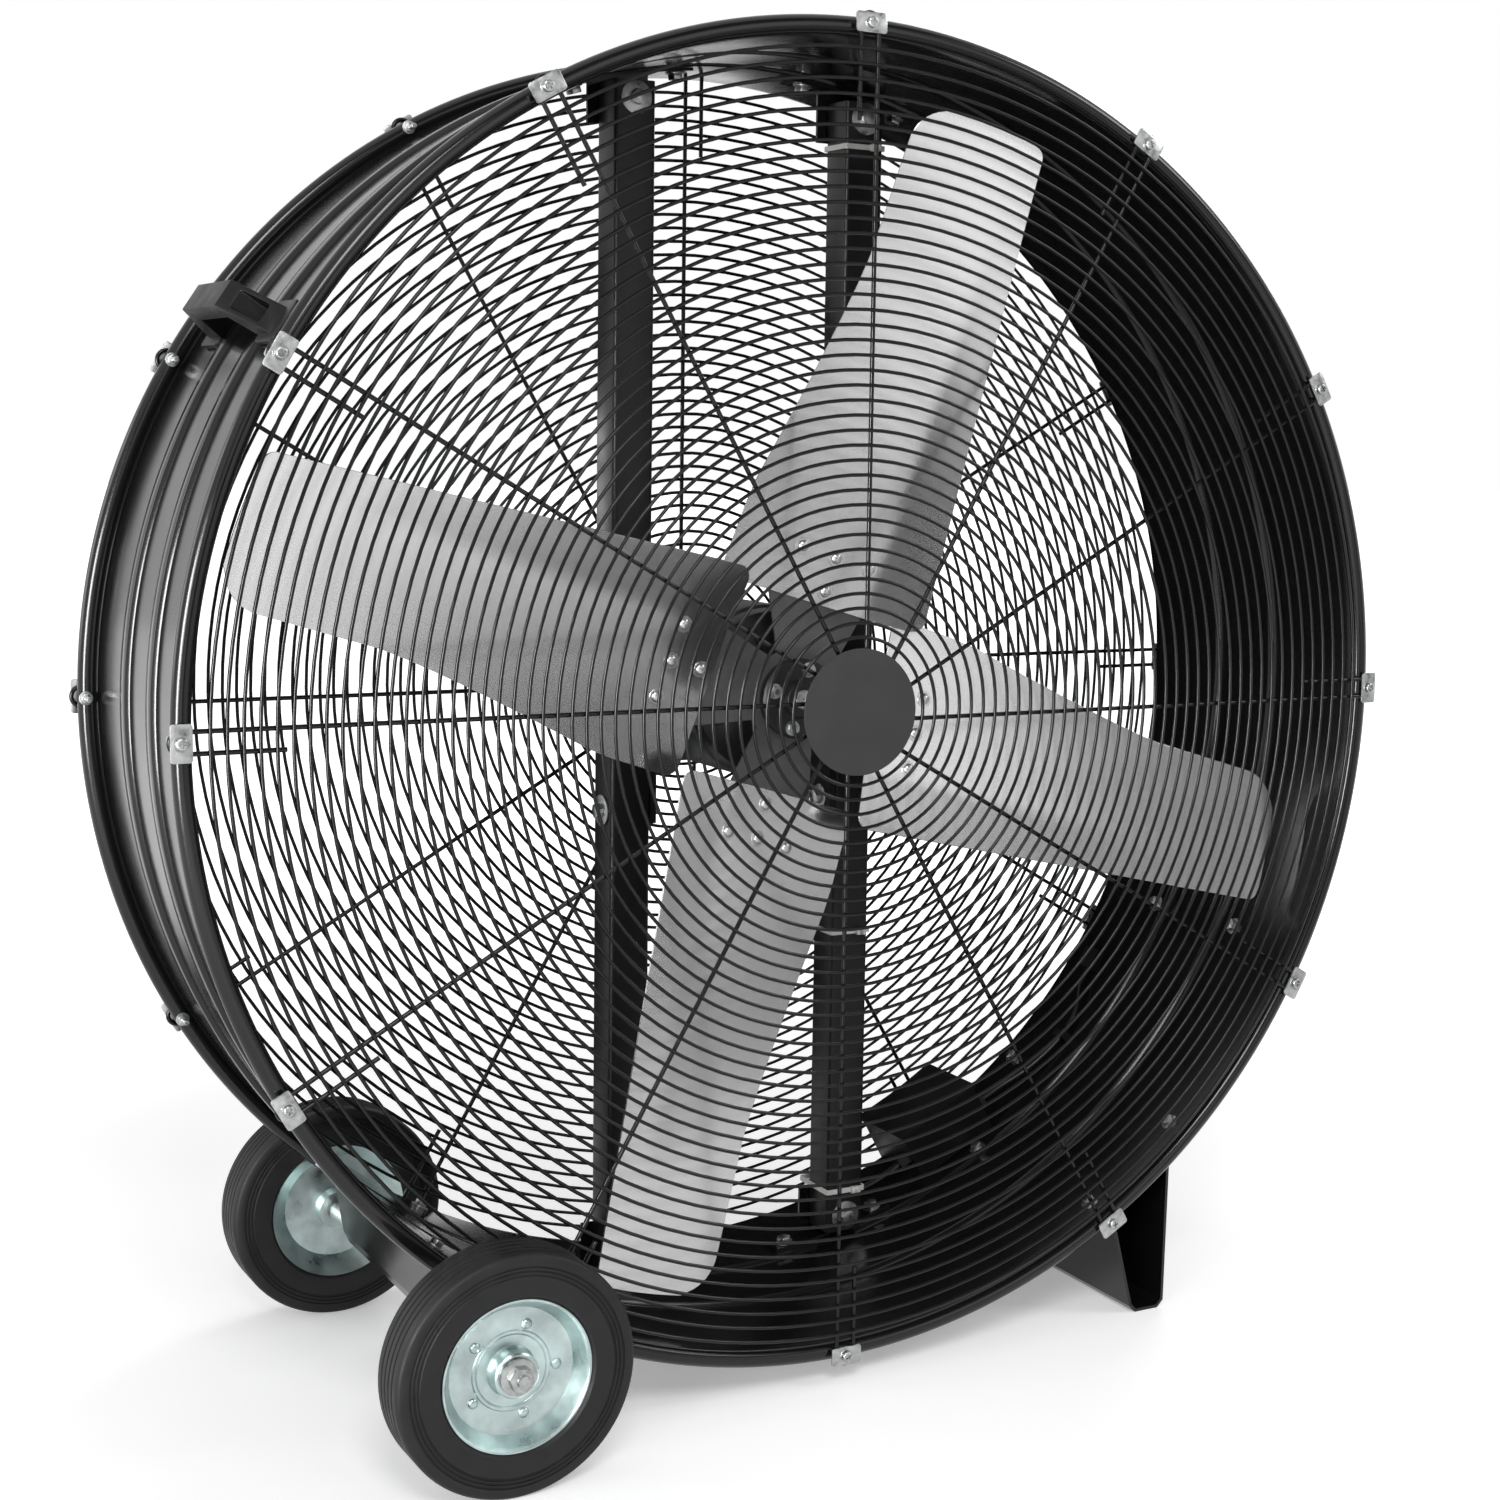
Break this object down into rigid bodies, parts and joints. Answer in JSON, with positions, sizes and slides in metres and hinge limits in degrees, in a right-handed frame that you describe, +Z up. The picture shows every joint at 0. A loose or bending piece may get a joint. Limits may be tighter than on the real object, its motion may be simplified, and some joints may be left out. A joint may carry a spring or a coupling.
{
  "type": "drum fan",
  "caption": "Portable drum fan: a sheet-steel drum with wire guards, a bladed rotor on a central motor, two wheels, a foot and handles.",
  "frame": {"origin": "on the floor under the drum axis, half way along the drum", "axes": "+X to the right seen from the front, +Y to the rear along the drum axis, +Z up"},
  "size_m": [1.193, 0.5356, 1.2095],
  "materials": {
    "black_enamel": "gloss black enamel on rolled steel sheet",
    "guard_wire": "gloss black coating on steel wire",
    "frame_steel": "black paint on square steel tube",
    "stand_steel": "gloss black enamel on folded steel sheet",
    "zinc_plate": "bright zinc plating",
    "motor_paint": "grey paint on a rolled motor body",
    "motor_dark": "dark grey paint on castings",
    "bright_steel": "turned steel",
    "hub_iron": "black painted casting",
    "spider_steel": "grey painted pressed steel",
    "blade_aluminium": "brushed aluminium sheet",
    "rivet_aluminium": "plain aluminium rivets",
    "tyre_rubber": "black moulded rubber",
    "rim_zinc": "blue-white zinc on pressed steel",
    "black_plastic": "black moulded plastic",
    "box_plastic": "black moulded plastic",
    "grommet_rubber": "black rubber",
    "cable_jacket": "smooth black cable jacket",
    "tie_nylon": "white nylon"
  },
  "bodies": {
    "drum": {"drum_shell": "black_enamel", "front_guard": "guard_wire", "front_guard_spokes": "guard_wire", "rear_guard": "guard_wire", "rear_guard_spokes": "guard_wire", "left_post": "frame_steel", "right_post": "frame_steel", "right_upper_saddle": "frame_steel", "right_lower_saddle": "frame_steel", "left_lower_saddle": "frame_steel", "left_upper_saddle": "frame_steel", "left_motor_rail": "frame_steel", "right_motor_rail": "frame_steel", "axle_bracket": "stand_steel", "foot": "stand_steel", "front_clips": "zinc_plate", "rear_clips": "zinc_plate", "clip_screws": "zinc_plate", "saddle_bolts": "zinc_plate", "post_bolts": "zinc_plate", "motor_mount_bolts": "zinc_plate", "foot_and_bracket_bolts": "zinc_plate", "handle_screws": "zinc_plate", "motor_housing": "motor_paint", "motor_front_bell": "motor_dark", "motor_rear_bell": "motor_dark", "motor_terminal_box": "motor_dark", "axle": "bright_steel", "axle_bolts": "bright_steel", "left_handle": "black_plastic", "right_handle": "black_plastic", "speed_switch_housing": "black_plastic", "junction_box": "box_plastic", "junction_box_lid": "box_plastic", "cable_glands": "box_plastic", "inlet_gland": "box_plastic", "cable_clip": "box_plastic", "wall_grommet": "grommet_rubber", "motor_cable": "cable_jacket", "switch_cable": "cable_jacket", "cable_ties": "tie_nylon"},
    "rotor": {"motor_shaft": "bright_steel", "hub": "hub_iron", "hub_bolts": "bright_steel", "spider": "spider_steel", "blade_1": "blade_aluminium", "blade_2": "blade_aluminium", "blade_3": "blade_aluminium", "blade_4": "blade_aluminium", "blade_rivets": "rivet_aluminium"},
    "front_wheel": {"front_tyre": "tyre_rubber", "front_rim": "rim_zinc"},
    "rear_wheel": {"rear_tyre": "tyre_rubber", "rear_rim": "rim_zinc"},
    "speed_knob": {"speed_knob": "black_plastic"}
  },
  "joints": [
    {"name": "rotor_spin", "type": "hinge", "parent": "drum", "child": "rotor", "pos_m": [0, 0, 0.613], "axis": [0, 1, 0], "continuous": true},
    {"name": "front_wheel_spin", "type": "hinge", "parent": "drum", "child": "front_wheel", "pos_m": [-0.3476, -0.23, 0.1016], "axis": [0, 1, 0], "continuous": true},
    {"name": "rear_wheel_spin", "type": "hinge", "parent": "drum", "child": "rear_wheel", "pos_m": [-0.3476, 0.23, 0.1016], "axis": [0, 1, 0], "continuous": true},
    {"name": "speed_knob_turn", "type": "hinge", "parent": "drum", "child": "speed_knob", "pos_m": [0.51483, 0.118, 0.25652], "axis": [0.8221, 0, -0.5693], "range_deg": [0, 90]}
  ]
}
